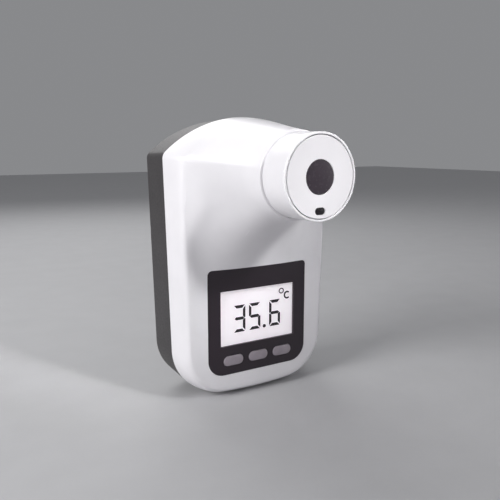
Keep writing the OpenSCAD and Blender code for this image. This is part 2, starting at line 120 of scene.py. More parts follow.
# Its upper part goes straight from the parting line to the collar; angles are from straight down
LEAD_SHARE = 0.12
LEAD_D = 14
NEAR_SHARE = 0.22
NEAR_D = 16
UPPER_FROM = 50
UPPER_SPAN = 75
# Shares of a wall's thickness by which the collar and the hump's foot shrink inside
COLLAR_SHARE = 0.55
FOOT_SHARE = 0.4

# Panel and keys
PANEL_TOP_R = 2.7
PANEL_FOOT_R = 10.7
PANEL_T = 1.5
PANEL_FIT = 0.15
KEY_PITCH = 17.9
KEY_W = 13.9
KEY_H = 6.2
KEY_PROUD = 0.6
KEY_EDGE = 0.6
KEY_STEM = 3.6
KEY_FLANGE = 2.6
KEY_Z = (key_low.z + key_high.z) / 2
FACE_CUT = (FACE_D - 4, FACE_D + 2)

# Nose
NOSE_BORE = 21.9
BEZEL_BORE = 22.0
SEAT_R = 20.4
WINDOW_R = 9.1
SLOT_DROP = 17.65
SLOT_W = 6.9
SLOT_H = 3.95
POST_CIRCLE_R = 15
POST_ANGLES = (90, 210, 330)

# Rear shell
REAR_EDGE = 1.4
CASE_SCREWS = ((45, 22), (45, -52), (-45, 22), (-45, -52))
CASE_POST_R = 4.2
WELL_R = 3.1
WELL_D = 14
SCREW_HOLE_R = 1.7
USB_SCREWS = ((12, -71), (26, -71))
USB_POST_R = 2.2
PILOT_R = 0.95
SOUND_X = -37
SOUND_Z = -20
SOUND_PITCH = 4
SOUND_R = 0.9
BAY_W = 45.8
BAY_H = 51
BAY_Z = -36
BAY_FLOOR = 14.4
BAY_WALL = 1.6
CELLS = 4
CELL_PITCH = 11.2
CELL_Y = -8.6
CELL_L = 44.5
DOOR_W = 52
DOOR_T = 1.7
DOOR_Y = -1.2
DOOR_FOOT = -65.2
DOOR_TOP = -7.5
GROOVE_PITCH = 2
GROOVE_W = 18
GROOVE_H = 0.8
GROOVE_D = 0.4
TRIPOD_Y = -14
TRIPOD_R = 5
TRIPOD_BOSS_R = 8
USB_X = 19
USB_Y = -18

# Springs at the cells' feet, which narrow from their foot to the cell
SPRING_TURNS = 4.5
SPRING_FOOT_R = 3.7
SPRING_TOP_R = 2.4
SPRING_WIRE_R = 0.34

half_h = BODY_H / 2
bow_cz = BOW_R - half_h
corner_cx = FOOT_W / 2 - CORNER_R
corner_cz = bow_cz - math.sqrt((BOW_R - CORNER_R) ** 2 - corner_cx ** 2)
shoulder_cx = BODY_W / 2 - SHOULDER_R
arch_cz = half_h - ARCH_R
shoulder_cz = arch_cz + math.sqrt((ARCH_R - SHOULDER_R) ** 2 - shoulder_cx ** 2)
bow_end = math.degrees(math.atan2(corner_cz - bow_cz, corner_cx))
arch_start = math.degrees(math.atan2(shoulder_cz - arch_cz, shoulder_cx))


# ---------------------------------------------------------------- case shape
def lerp(a, b, t):
    return a + (b - a) * t


def ease(t):
    c = np.clip(t, 0, 1)
    return c * c * (3 - 2 * c)


def arc(cx, cz, r, a0, a1, n):
    """Points of an arc from angle a0 up to, but not including, a1."""
    angles = np.radians(np.linspace(a0, a1, n, endpoint=False))
    return np.stack([cx + r * np.cos(angles), cz + r * np.sin(angles)], axis=1)


def outline(d, detail=4):
    """The case outline moved inwards by d, anticlockwise from the bottom as seen from the front."""
    side = np.linspace(0, 1, 12 * detail, endpoint=False)[:, None]
    foot = np.array([corner_cx + CORNER_R - d, corner_cz])
    shoulder = np.array([shoulder_cx + SHOULDER_R - d, shoulder_cz])
    half = np.concatenate([
        arc(0, bow_cz, BOW_R - d, -90, bow_end, 5 * detail),
        arc(corner_cx, corner_cz, CORNER_R - d, bow_end, 0, 8 * detail),
        lerp(foot, shoulder, side),
        arc(shoulder_cx, shoulder_cz, SHOULDER_R - d, 0, arch_start, 4 * detail),
        arc(0, arch_cz, ARCH_R - d, arch_start, 90, 10 * detail)])
    mirrored = half[:0:-1] * np.array([-1, 1])
    return np.concatenate([half, [[0, half_h - d]], mirrored])


def foot_radius(angle):
    """Distance from the nose's axis to the foot of the hump; angle runs from straight down."""
    down = (np.abs(np.cos(angle)) / HUMP_DOWN) ** HUMP_POWER
    side = (np.abs(np.sin(angle)) / HUMP_SIDE) ** HUMP_POWER
    return (down + side) ** (-1 / HUMP_POWER)


def hump_rise(x, z):
    """How far the lower front stands out of the display face."""
    far = np.hypot(x, z - NOSE_Z)
    foot = foot_radius(np.arctan2(x, NOSE_Z - z))
    t = np.clip((far - COLLAR_R) / (foot - COLLAR_R), 0, 1)
    return (COLLAR_D - FACE_D) * (1 - np.sqrt(1 - (1 - t) ** 2))


def evenly(paths, rings):
    """Resamples paths of shape (steps, around, 3) so that each has its rings evenly spaced."""
    step = np.linalg.norm(np.diff(paths, axis=0), axis=2)
    along = np.concatenate([np.zeros((1, paths.shape[1])), np.cumsum(step, axis=0)])
    along /= along[-1]
    out = np.empty((len(rings), paths.shape[1], 3))
    for i in range(paths.shape[1]):
        for axis in range(3):
            out[:, i, axis] = np.interp(rings, along[:, i], paths[:, i, axis])
    return out


def with_depth(points, depth):
    """Outline points (x, z) at a distance from the wall."""
    depth = np.broadcast_to(depth, points.shape[:1])
    return np.stack([points[:, 0], -depth, points[:, 1]], axis=1)


def front_surface(inset, rings, collar_depth):
    """Rings of the front shell's skin, from the parting line to the collar, moved inwards by inset."""
    rim = outline(inset)
    edge = outline(inset + EDGE_IN)
    face = FACE_D - inset
    collar = COLLAR_R - inset * COLLAR_SHARE
    centre = np.array([0, NOSE_Z])
    angle = np.arctan2(rim[:, 0], NOSE_Z - rim[:, 1])
    toward = np.stack([np.sin(angle), -np.cos(angle)], axis=1)
    foot = np.minimum(foot_radius(angle) - inset * FOOT_SHARE,
                      np.linalg.norm(edge - centre, axis=1) - FACE_MIN)

    # Over the edge, along the face and up the hump
    low = []
    for t in np.linspace(0, 1, 30, endpoint=False):
        turn = math.radians(90 * t)
        low.append(with_depth(outline(inset + EDGE_IN * (1 - math.cos(turn))),
                              lerp(REAR_D, face, math.sin(turn))))
    for t in np.linspace(0, 1, 20, endpoint=False):
        low.append(with_depth(lerp(edge, centre + foot[:, None] * toward, t), face))
    for t in np.linspace(0, 1, 70):
        turn = math.radians(90 * t)
        reach = lerp(foot, collar, math.sin(turn))[:, None]
        low.append(with_depth(centre + reach * toward, lerp(face, collar_depth, 1 - math.cos(turn))))

    # Straight on from the parting line to the collar
    end = centre + collar * toward
    handles = [with_depth(rim, REAR_D), with_depth(lerp(rim, end, LEAD_SHARE), REAR_D + LEAD_D),
               with_depth(lerp(end, rim, NEAR_SHARE), collar_depth - NEAR_D),
               with_depth(end, collar_depth)]
    top = []
    for t in np.linspace(0, 1, 120):
        top.append((1 - t) ** 3 * handles[0] + 3 * (1 - t) ** 2 * t * handles[1]
                   + 3 * (1 - t) * t ** 2 * handles[2] + t ** 3 * handles[3])

    upper = ease((np.abs(np.degrees(angle)) - UPPER_FROM) / UPPER_SPAN)[None, :, None]
    return lerp(evenly(np.array(low), rings), evenly(np.array(top), rings), upper)


# ---------------------------------------------------------------- mesh helpers
def from_bmesh(name, bm):
    """Makes an object of a mesh, with its faces turned outwards."""
    bmesh.ops.recalc_face_normals(bm, faces=bm.faces)
    mesh = bpy.data.meshes.new(name)
    bm.to_mesh(mesh)
    bm.free()
    obj = bpy.data.objects.new(name, mesh)
    bpy.context.scene.collection.objects.link(obj)
    return obj


def skin(name, rings, closed=False):
    """A solid whose skin joins rings of points, closed on itself or capped at both ends."""
    bm = bmesh.new()
    grid = [[bm.verts.new(Vector(p) * MM) for p in ring] for ring in rings]
    around = len(grid[0])
    pairs = list(zip(grid, grid[1:]))
    if closed:
        pairs.append((grid[-1], grid[0]))
    for lower, upper in pairs:
        for i in range(around):
            j = (i + 1) % around
            bm.faces.new((lower[i], lower[j], upper[j], upper[i]))
    if not closed:
        bm.faces.new(grid[0])
        bm.faces.new(grid[-1])
    return from_bmesh(name, bm)


def lathe(name, profile, steps=192, closed=True):
    """A turned part about the nose's axis; the profile holds (radius, depth) points.

    The profile of a closed part is a loop. That of an open one starts and ends on the axis."""
    bm = bmesh.new()
    columns = []
    for s in range(steps):
        turn = math.tau * s / steps
        columns.append([bm.verts.new(Vector((r * math.cos(turn), -d, NOSE_Z + r * math.sin(turn))) * MM)
                        for r, d in profile])
    count = len(profile)
    for s in range(steps):
        here, after = columns[s], columns[(s + 1) % steps]
        for k in range(count if closed else count - 1):
            n = (k + 1) % count
            bm.faces.new((here[k], here[n], after[n], after[k]))
    bmesh.ops.remove_doubles(bm, verts=bm.verts, dist=1e-7)
    return from_bmesh(name, bm)


def prism(name, points, d0, d1):
    """A straight bar along Y with an (x, z) outline, between two distances from the wall."""
    return skin(name, [[(x, -d, z) for x, z in points] for d in (d0, d1)])


def upright(name, points, z0, z1):
    """A straight bar along Z with an (x, y) outline."""
    return skin(name, [[(x, y, z) for x, y in points] for z in (z0, z1)])


def along_x(name, points, x0, x1):
    """A straight bar along X with a (y, z) outline."""
    return skin(name, [[(x, y, z) for y, z in points] for x in (x0, x1)])


def cross_bar(name, y, z, r, x0, x1):
    """A round bar along X."""
    return along_x(name, circle_points(y, z, r, 24), x0, x1)


def ball(name, centre, r):
    bm = bmesh.new()
    bmesh.ops.create_uvsphere(bm, u_segments=64, v_segments=32, radius=r * MM)
    bmesh.ops.translate(bm, verts=bm.verts, vec=Vector(centre) * MM)
    return from_bmesh(name, bm)


def loft(name, x, z, rings):
    """Flat ovals (width, height, distance from the wall) joined into one solid."""
    return skin(name, [[(px, -d, pz) for px, pz in oval_points(x, z, w, h)] for w, h, d in rings])


def ring_prism(name, outer, inner, d0, d1, closed=True):
    """A curved stroke between two lines of points, with depth along Y."""
    rings = [[(*out, d0), (*out, d1), (*into, d1), (*into, d0)] for out, into in zip(outer, inner)]
    if closed:
        rings.pop()  # the last points repeat the first
    return skin(name, [[(x, -d, z) for x, z, d in ring] for ring in rings], closed)


def wire(name, path, r, sides=10):
    """A round wire along a path of points."""
    points = [Vector(p) for p in path]
    turns = [math.tau * s / sides for s in range(sides)]
    rings = []
    for k, point in enumerate(points):
        way = (points[min(k + 1, len(points) - 1)] - points[max(k - 1, 0)]).normalized()
        side = way.cross(Vector((0, 0, 1))).normalized()
        up = way.cross(side)
        rings.append([point + r * (math.cos(a) * side + math.sin(a) * up) for a in turns])
    return skin(name, rings)


def merge(name, objects):
    """Joins objects into one mesh."""
    bm = bmesh.new()
    for obj in objects:
        bm.from_mesh(obj.data)
        bpy.data.objects.remove(obj, do_unlink=True)
    return from_bmesh(name, bm)


def rounded(corners, n=5):
    """Rounds a closed outline's corners, each given as (x, y, radius)."""
    out = []
    for k, (x, y, r) in enumerate(corners):
        here = Vector((x, y))
        if r == 0:
            out.append((x, y))
            continue
        before = Vector(corners[k - 1][:2]) - here
        after = Vector(corners[(k + 1) % len(corners)][:2]) - here
        start = here + before.normalized() * r
        end = here + after.normalized() * r
        for step in range(n + 1):
            t = step / n
            point = (1 - t) ** 2 * start + 2 * (1 - t) * t * here + t ** 2 * end
            out.append((point.x, point.y))
    return out


def circle_points(x, z, r, n=48):
    """A circle, anticlockwise."""
    return [(x + r * math.cos(math.tau * i / n), z + r * math.sin(math.tau * i / n)) for i in range(n)]


def oval_points(x, z, w, h, n=24):
    """A flat oval: two half circles joined by straight sides."""
    out = []
    for side, start in ((1, -90), (-1, 90)):
        for i in range(n + 1):
            a = math.radians(start + 180 * i / n)
            out.append((x + side * (w - h) / 2 + h / 2 * math.cos(a), z + h / 2 * math.sin(a)))
    return out


def box_points(x, z, w, h, r=0.0, n=6):
    """A rectangle, with round corners if r is given."""
    if r == 0:
        return [(x - w / 2, z - h / 2), (x + w / 2, z - h / 2), (x + w / 2, z + h / 2),
                (x - w / 2, z + h / 2)]
    out = []
    for cx, cz, start in ((1, -1, -90), (1, 1, 0), (-1, 1, 90), (-1, -1, 180)):
        for i in range(n + 1):
            a = math.radians(start + 90 * i / n)
            out.append((x + cx * (w / 2 - r) + r * math.cos(a), z + cz * (h / 2 - r) + r * math.sin(a)))
    return out


def apply_modifiers(obj):
    """Puts what the modifiers make in place of the object's mesh."""
    graph = bpy.context.evaluated_depsgraph_get()
    mesh = bpy.data.meshes.new_from_object(obj.evaluated_get(graph))
    old = obj.data
    obj.modifiers.clear()
    obj.data = mesh
    bpy.data.meshes.remove(old)


def combine(obj, tools, operation="DIFFERENCE"):
    """Cuts the tools out of an object, or joins them to it, and removes them."""
    for tool in tools:
        mod = obj.modifiers.new("cut", "BOOLEAN")
        mod.operation = operation
        mod.solver = "EXACT"
        mod.object = tool
    apply_modifiers(obj)
    for tool in tools:
        bpy.data.objects.remove(tool, do_unlink=True)


def smooth(obj, angle, flat_back=False):
    """Smooth shading with creases where the surface turns by more than the angle.

    A flat back keeps a fine crease all round, so that it shades as a true plane."""
    limit = math.radians(angle)

    def faces_back(face):
        return flat_back and face.normal.y > 0.99999

    bm = bmesh.new()
    bm.from_mesh(obj.data)
    for face in bm.faces:
        face.smooth = True
    for edge in bm.edges:
        pair = edge.link_faces
        edge.smooth = (len(pair) == 2 and edge.calc_face_angle(0) < limit
                       and faces_back(pair[0]) == faces_back(pair[1]))
    bm.to_mesh(obj.data)
    bm.free()


def bevel(obj, width, angle=40, weighted=True):
    """Rounds the edges that are sharper than the angle and keeps the faces beside them flat in shading."""
    mod = obj.modifiers.new("edge", "BEVEL")
    mod.width = width * MM
    mod.segments = 2
    mod.limit_method = "ANGLE"
    mod.angle_limit = math.radians(angle)
    mod.harden_normals = True
    if weighted:
        normals = obj.modifiers.new("normals", "WEIGHTED_NORMAL")
        normals.keep_sharp = True
        normals.weight = 100


def tidy(obj):
    """Joins faces that lie in one plane."""
    bm = bmesh.new()
    bm.from_mesh(obj.data)
    bmesh.ops.remove_doubles(bm, verts=bm.verts, dist=2e-6)
    bmesh.ops.dissolve_limit(bm, angle_limit=math.radians(0.05), verts=bm.verts, edges=bm.edges)
    bm.to_mesh(obj.data)
    bm.free()


def dress(obj, material, body, slot, *nodes):
    """Gives a piece its material and its place in the assembly."""
    obj.data.materials.clear()
    obj.data.materials.append(material)
    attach(obj, body)
    if nodes:
        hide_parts(*nodes)


# ---------------------------------------------------------------- materials
class Nodes:
    """Short names for building one node material."""

    def __init__(self, name):
        self.material = bpy.data.materials.new(name)
        self.material.use_nodes = True
        self.tree = self.material.node_tree
        self.shader = self.tree.nodes["Principled BSDF"]
        coords = self.tree.nodes.new("ShaderNodeTexCoord")
        self.place = coords.outputs["Object"]

    def add(self, kind, **values):
        node = self.tree.nodes.new(kind)
        for key, value in values.items():
            setattr(node, key, value)
        return node

    def link(self, a, b):
        self.tree.links.new(a, b)

    def noise(self, scale, detail, rough):
        node = self.add("ShaderNodeTexNoise")
        node.inputs["Scale"].default_value = scale
        node.inputs["Detail"].default_value = detail
        node.inputs["Roughness"].default_value = rough
        self.link(self.place, node.inputs["Vector"])
        return node.outputs["Fac"]

    def ramp(self, source, low, high, start=0.3, end=0.7):
        """Takes a value that runs from start to end and makes it run from low to high."""
        node = self.add("ShaderNodeMapRange")
        node.inputs["From Min"].default_value = start
        node.inputs["From Max"].default_value = end
        node.inputs["To Min"].default_value = low
        node.inputs["To Max"].default_value = high
        self.link(source, node.inputs["Value"])
        return node.outputs["Result"]

    def mix(self, factor, a, b):
        node = self.add("ShaderNodeMix", data_type="RGBA")
        self.link(factor, node.inputs["Factor"])
        for socket, value in (("A", a), ("B", b)):
            target = [s for s in node.inputs if s.name == socket and s.type == "RGBA"][0]
            if isinstance(value, (tuple, list)):
                target.default_value = (*value, 1.0)
            else:
                self.link(value, target)
        return [s for s in node.outputs if s.type == "RGBA"][0]

    def bump(self, source, strength, distance, under=None):
        """Relief in metres, laid over another bump if one is given."""
        node = self.add("ShaderNodeBump")
        node.inputs["Strength"].default_value = strength
        node.inputs["Distance"].default_value = distance
        self.link(source, node.inputs["Height"])
        if under is not None:
            self.link(under, node.inputs["Normal"])
        return node.outputs["Normal"]

    def edges(self, low, high):
        """Goes from 0 to 1 on sharp outer edges, where handling wears and polishes them."""
        node = self.add("ShaderNodeNewGeometry")
        return self.ramp(node.outputs["Pointiness"], 0.0, 1.0, low, high)

    def set(self, name, value):
        """Sets an input of the shader to a number, a colour or another node's output."""
        socket = self.shader.inputs[name]
        if isinstance(value, (int, float)):
            socket.default_value = value
        elif isinstance(value, tuple):
            socket.default_value = (*value, 1.0)
        else:
            self.link(value, socket)


def shade(colour, gain, lift=0.0):
    """A colour made lighter or darker."""
    return tuple(min(1.0, c * gain + lift) for c in colour)


def moulded(name, colour, rough, grain=0.05, tint=0.05, wear=0.25):
    """Injection-moulded plastic: fine texture, faint clouding, soft sink waves and polished edges."""
    n = Nodes(name)
    cloud = n.noise(38, 5, 0.55)
    fine = n.noise(900, 3, 0.5)
    base = n.mix(n.ramp(cloud, 0, 1, 0.35, 0.65), shade(colour, 1 - tint), shade(colour, 1 + tint * 0.6))
    base = n.mix(n.ramp(n.edges(0.53, 0.62), 0, wear, 0, 1), base, shade(colour, 1.12, 0.012))
    n.set("Base Color", base)
    n.set("Roughness", n.ramp(fine, rough * 0.88, rough * 1.14))
    wave = n.bump(n.noise(55, 2, 0.4), 0.10, 0.00012)
    n.set("Normal", n.bump(n.noise(2600, 2, 0.6), grain, 0.00006, wave))
    n.set("IOR", 1.5)
    return n.material


def metal(name, colour, rough, scratch=0.15):
    """Plated or turned metal with fine tool marks and slight tarnish."""
    n = Nodes(name)
    tarnish = n.noise(120, 4, 0.6)
    marks = n.noise(900, 3, 0.7)
    n.set("Base Color", n.mix(n.ramp(tarnish, 0, 1, 0.4, 0.75), colour, shade(colour, 0.72)))
    n.set("Metallic", 1.0)
    n.set("Roughness", n.ramp(marks, rough * 0.7, rough * 1.4))
    n.set("Normal", n.bump(marks, scratch, 0.00004))
    return n.material


def rubber(name, colour, rough=0.55):
    """Silicone rubber with a soft bloom and a very fine matte grain."""
    n = Nodes(name)
    bloom = n.noise(160, 4, 0.55)
    base = n.mix(n.ramp(bloom, 0, 1, 0.35, 0.7), shade(colour, 0.92), shade(colour, 1.10))
    worn = shade(colour, 1.25, 0.01)
    n.set("Base Color", n.mix(n.ramp(n.edges(0.52, 0.6), 0, 0.35, 0, 1), base, worn))
    n.set("Roughness", n.ramp(n.noise(700, 3, 0.5), rough * 0.9, rough * 1.12))
    n.set("Normal", n.bump(n.noise(3200, 2, 0.6), 0.12, 0.00005))
    n.set("IOR", 1.43)
    return n.material


def board_green(name):
    """Solder mask with copper tracks showing through and a woven glass grain."""
    n = Nodes(name)
    tracks = n.add("ShaderNodeTexBrick")
    tracks.inputs["Scale"].default_value = 260
    tracks.inputs["Mortar Size"].default_value = 0.045
    n.link(n.place, tracks.inputs["Vector"])
    base = n.mix(n.ramp(tracks.outputs["Fac"], 0, 1, 0.0, 1.0), (0.012, 0.11, 0.045), (0.03, 0.20, 0.09))
    cloud = n.ramp(n.noise(90, 4, 0.5), 0, 0.35, 0.35, 0.7)
    n.set("Base Color", n.mix(cloud, base, (0.01, 0.07, 0.03)))
    n.set("Roughness", n.ramp(n.noise(400, 3, 0.5), 0.28, 0.42))
    n.set("Normal", n.bump(tracks.outputs["Fac"], 0.15, 0.00005))
    return n.material


def polished_filter(name, colour):
    """The dark infrared window: polished, with a soft haze."""
    n = Nodes(name)
    haze = n.noise(240, 4, 0.6)
    n.set("Base Color", n.mix(n.ramp(haze, 0, 1, 0.35, 0.7), shade(colour, 0.85), colour))
    n.set("Roughness", n.ramp(n.noise(500, 3, 0.5), 0.20, 0.30))
    n.set("Normal", n.bump(n.noise(60, 2, 0.4), 0.05, 0.00008))
    n.set("Coat Weight", 0.4)
    n.set("Coat Roughness", 0.12)
    return n.material


def lit_display(name):
    """The display cell: even milky light with slight clouding and a very fine grain."""
    n = Nodes(name)
    glow = n.noise(45, 3, 0.5)
    colour = n.mix(n.ramp(glow, 0, 1, 0.35, 0.68), (0.80, 0.745, 0.79), (0.87, 0.84, 0.87))
    n.set("Base Color", colour)
    n.set("Emission Color", colour)
    n.set("Emission Strength", 0.50)
    n.set("Roughness", n.ramp(n.noise(800, 3, 0.5), 0.34, 0.46))
    n.set("Normal", n.bump(n.noise(1800, 2, 0.5), 0.04, 0.00003))
    return n.material


def clear_window(name):
    """Clear acrylic: nearly invisible but for its gloss."""
    n = Nodes(name)
    smudge = n.noise(70, 4, 0.6)
    n.set("Base Color", n.mix(n.ramp(smudge, 0, 1, 0.4, 0.7), (0.30, 0.29, 0.31), (0.22, 0.22, 0.24)))
    n.set("Roughness", n.ramp(smudge, 0.05, 0.14, 0.35, 0.7))
    n.set("Normal", n.bump(n.noise(40, 2, 0.4), 0.03, 0.00006))
    n.set("Alpha", 0.04)
    n.set("IOR", 1.49)
    return n.material


def cell_wrap(name, middle):
    """Plain sleeve of a battery cell: blue below the middle height and copper-coloured above it."""
    n = Nodes(name)
    split = n.add("ShaderNodeSeparateXYZ")
    n.link(n.place, split.inputs["Vector"])
    above = n.add("ShaderNodeMath", operation="GREATER_THAN")
    above.inputs[1].default_value = middle * MM
    n.link(split.outputs["Z"], above.inputs[0])
    base = n.mix(above.outputs["Value"], (0.03, 0.10, 0.30), (0.55, 0.27, 0.08))
    n.set("Base Color", n.mix(n.ramp(n.noise(200, 4, 0.5), 0, 0.3, 0.35, 0.7), base, (0.5, 0.5, 0.52)))
    n.set("Roughness", n.ramp(n.noise(600, 3, 0.5), 0.22, 0.34))
    n.set("Normal", n.bump(n.noise(300, 3, 0.5), 0.08, 0.00005))
    return n.material


# One look for each material slot of the frame, and one for the display's segments
LOOKS = {
    "case_white": moulded("case_white", (0.84, 0.825, 0.85), 0.34, grain=0.035, tint=0.03),
    # Painted highlight: the bezel's and the dish's whites are lighter than the case's white, so that the
    # nose shows brighter than the face below it
    "bezel_white": moulded("bezel_white", (0.92, 0.91, 0.93), 0.26, grain=0.02, tint=0.02),
    "dish_white": moulded("dish_white", (0.92, 0.90, 0.925), 0.32, grain=0.03, tint=0.03),
    # No edge wear: it is read at the corners of faces and would streak the large flat back
    "case_grey": moulded("case_grey", (0.042, 0.0385, 0.040), 0.50, grain=0.16, tint=0.10, wear=0.0),
    "door_grey": moulded("door_grey", (0.058, 0.055, 0.057), 0.48, grain=0.16, tint=0.10, wear=0.4),
    "panel_dark": moulded("panel_dark", (0.023, 0.015, 0.022), 0.36, grain=0.03, tint=0.12),
    "sensor_dark": polished_filter("sensor_dark", (0.044, 0.033, 0.044)),
    "proximity_dark": polished_filter("proximity_dark", (0.010, 0.007, 0.010)),
    "lcd_white": lit_display("lcd_white"),
    "lcd_ink": moulded("lcd_ink", (0.006, 0.004, 0.006), 0.75, grain=0.03, tint=0.2),
    "clear_window": clear_window("clear_window"),
    "light_guide": moulded("light_guide", (0.80, 0.80, 0.80), 0.35, grain=0.05),
    "led_cream": moulded("led_cream", (0.80, 0.72, 0.40), 0.25, grain=0.02),
    "holder_plastic": moulded("holder_plastic", (0.62, 0.62, 0.64), 0.45, grain=0.08),
    "zebra_rubber": rubber("zebra_rubber", (0.60, 0.22, 0.30)),
    "key_grey": rubber("key_grey", (0.305, 0.270, 0.302), 0.5),
    "plunger_black": moulded("plunger_black", (0.02, 0.02, 0.02), 0.4),
    "switch_steel": metal("switch_steel", (0.62, 0.62, 0.63), 0.3),
    "board_green": board_green("board_green"),
    "chip_black": moulded("chip_black", (0.022, 0.022, 0.024), 0.45, grain=0.15, tint=0.15),
    "header_cream": moulded("header_cream", (0.76, 0.70, 0.56), 0.4),
    "screw_steel": metal("screw_steel", (0.66, 0.67, 0.69), 0.28, scratch=0.25),
    "nickel": metal("nickel", (0.74, 0.73, 0.71), 0.2),
    "brass": metal("brass", (0.78, 0.56, 0.24), 0.26),
    "cable_grey": rubber("cable_grey", (0.42, 0.42, 0.43), 0.45),
    "wire_red": rubber("wire_red", (0.42, 0.02, 0.02), 0.4),
    "wire_black": rubber("wire_black", (0.02, 0.02, 0.02), 0.4),
    "cell_wrap": cell_wrap("cell_wrap", BAY_Z),
}


# ---------------------------------------------------------------- camera, light and floor, in metres
LENS = 43.456
CAMERA_AT = (-0.1960, -0.3481, 0.0682)
CAMERA_AIM = (-0.00613, -0.0428, 0.00580)
STUDIO_TINT = (0.80, 0.81, 0.84, 1)
STUDIO_STRENGTH = 0.31
FLOOR_HALF = 3
FLOOR_GAP = 0.0004


def look_at(obj, target):
    obj.rotation_euler = (Vector(target) - obj.location).to_track_quat("-Z", "Y").to_euler()


def make_camera():
    data = bpy.data.cameras.new("camera")
    data.lens = LENS
    data.sensor_width = 36
    data.clip_start = 0.01
    camera = bpy.data.objects.new("camera", data)
    bpy.context.scene.collection.objects.link(camera)
    camera.location = CAMERA_AT
    look_at(camera, CAMERA_AIM)
    bpy.context.scene.camera = camera


def soft_light(name, place, target, size, power, tint=(1, 1, 1), spread=180):
    """A square area light of some watts that the camera can't see; the spread is in degrees."""
    data = bpy.data.lights.new(name, "AREA")
    data.shape = "SQUARE"
    data.size = size
    data.energy = power
    data.color = tint
    data.spread = math.radians(spread)
    light = bpy.data.objects.new(name, data)
    bpy.context.scene.collection.objects.link(light)
    light.location = place
    light.visible_camera = False
    look_at(light, target)


def make_stage():
    bpy.context.scene.view_settings.view_transform = "Standard"
    world = bpy.data.worlds.new("studio")
    world.use_nodes = True
    world.node_tree.nodes["Background"].inputs["Color"].default_value = STUDIO_TINT
    world.node_tree.nodes["Background"].inputs["Strength"].default_value = STUDIO_STRENGTH
    bpy.context.scene.world = world
    middle = (0, -0.05, 0)
    soft_light("key", (-1.06, -0.20, 0.48), middle, 0.5, 10.6, (1.0, 0.995, 1.0))
    soft_light("front", (0.16, -0.46, 0.34), (0, -0.10, 0.055), 0.1, 0.025, spread=14)
    soft_light("fill", (0.85, -0.55, 0.30), middle, 0.8, 0.9, (1.0, 0.95, 0.99))
    soft_light("rim", (0.1, 0.8, 0.7), middle, 0.7, 4.0)
    bm = bmesh.new()
    level = cad_box[0][2] - FLOOR_GAP
    bm.faces.new([bm.verts.new((x * FLOOR_HALF, y * FLOOR_HALF, level))
                  for x, y in ((-1, -1), (1, -1), (1, 1), (-1, 1))])
    floor = from_bmesh("floor", bm)
    floor.data.materials.append(moulded("floor_pale", (0.52, 0.52, 0.53), 0.7, grain=0.02, tint=0.02))


# ---------------------------------------------------------------- case
def panel_half(z, grow):
    """Half the panel's width at a height, with its rounded corners."""
    low = z - PANEL_Z + grow
    high = PANEL_Z + PANEL_H + grow - z
    full = PANEL_W / 2 + grow
    foot_r = PANEL_FOOT_R + grow
    top_r = PANEL_TOP_R + grow
    if low < foot_r:
        return full - foot_r + math.sqrt(max(foot_r ** 2 - (foot_r - low) ** 2, 0))
    if high < top_r:
        return full - top_r + math.sqrt(max(top_r ** 2 - (top_r - high) ** 2, 0))
    return full


def panel_solid(name, grow, front, back, cols=48):
    """The panel's plate, which follows the front of the case; front and back are shifts along Y."""
    foot = PANEL_Z - grow
    top = PANEL_Z + PANEL_H + grow
    foot_r = PANEL_FOOT_R + grow
    top_r = PANEL_TOP_R + grow
    flat = glass_high.z - 6

    # Rows round the lower corners, up the flat face, over the foot of the hump and round the upper corners
    rows = [foot + foot_r * (1 - math.cos(math.radians(a))) for a in np.linspace(0, 90, 20, endpoint=False)]
    rows += list(np.linspace(foot + foot_r, flat, 3, endpoint=False))
    rows += list(np.linspace(flat, top - top_r, 22, endpoint=False))
    rows += [top - top_r * (1 - math.sin(math.radians(a))) for a in np.linspace(0, 90, 9)]
    rings = []
    for z in rows:
        x = np.linspace(-1, 1, cols + 1) * panel_half(z, grow)
        y = -FACE_D - hump_rise(x, z)
        face = np.stack([x, y, np.full_like(x, z)], axis=1)
        rings.append(np.concatenate([face + [0, front, 0], (face + [0, back, 0])[::-1]]))
    return skin(name, rings)


def face_cuts(window_room, key_room, window_r=0.0):
    """Tools for the display's window and the three key holes, each larger than its piece by some room."""
    tools = [prism("window_cut", box_points(0, LCD_Z, LCD_W + window_room, LCD_H + window_room, window_r),
                   *FACE_CUT)]
    for k in (-1, 0, 1):
        tools.append(prism("key_cut", oval_points(k * KEY_PITCH, KEY_Z, KEY_W + key_room, KEY_H + key_room),
                           *FACE_CUT))
    return tools


def make_front_shell():
    # From the parting line over the front to the collar, whose mouth has a rounded lip, and back inside
    lip = 0.7
    back = [with_depth(outline(PARTING_GAP), REAR_D)]
    outer = front_surface(0, np.linspace(0, 1, 96), COLLAR_D - lip)
    outer[0] = with_depth(outline(0), REAR_D + PARTING_GAP)
    collar_turn = np.arctan2(outer[-1][:, 0], NOSE_Z - outer[-1][:, 2])

    def collar_ring(r, depth):
        points = np.stack([r * np.sin(collar_turn), NOSE_Z - r * np.cos(collar_turn)], axis=1)
        return with_depth(points, depth)

    mouth = [collar_ring(COLLAR_R - lip * (1 - math.cos(a)), COLLAR_D - lip * (1 - math.sin(a)))
             for a in np.radians([22.5, 45, 67.5, 90])]
    mouth.append(collar_ring(NOSE_R + 0.1, COLLAR_D))
    inner = front_surface(FRONT_WALL, np.linspace(0, 1, 40), COLLAR_D - 1)[::-1]
    shell = skin("front_shell_skin", back + list(outer) + mouth + list(inner), closed=True)
    combine(shell, [panel_solid("pocket", PANEL_FIT, -12, PANEL_T + 0.05)] + face_cuts(1.5, 1.2))
    smooth(shell, 30)
    dress(shell, LOOKS["case_white"], "case", "case_white", "front_shell")


def make_panel():
    panel = panel_solid("panel_plate", 0, -0.05, PANEL_T - 0.05)
    combine(panel, face_cuts(0, 0.5, 0.5))
    tidy(panel)
    smooth(panel, 30)
    bevel(panel, 0.18)
    dress(panel, LOOKS["panel_dark"], "case", "panel_dark", "display_panel")


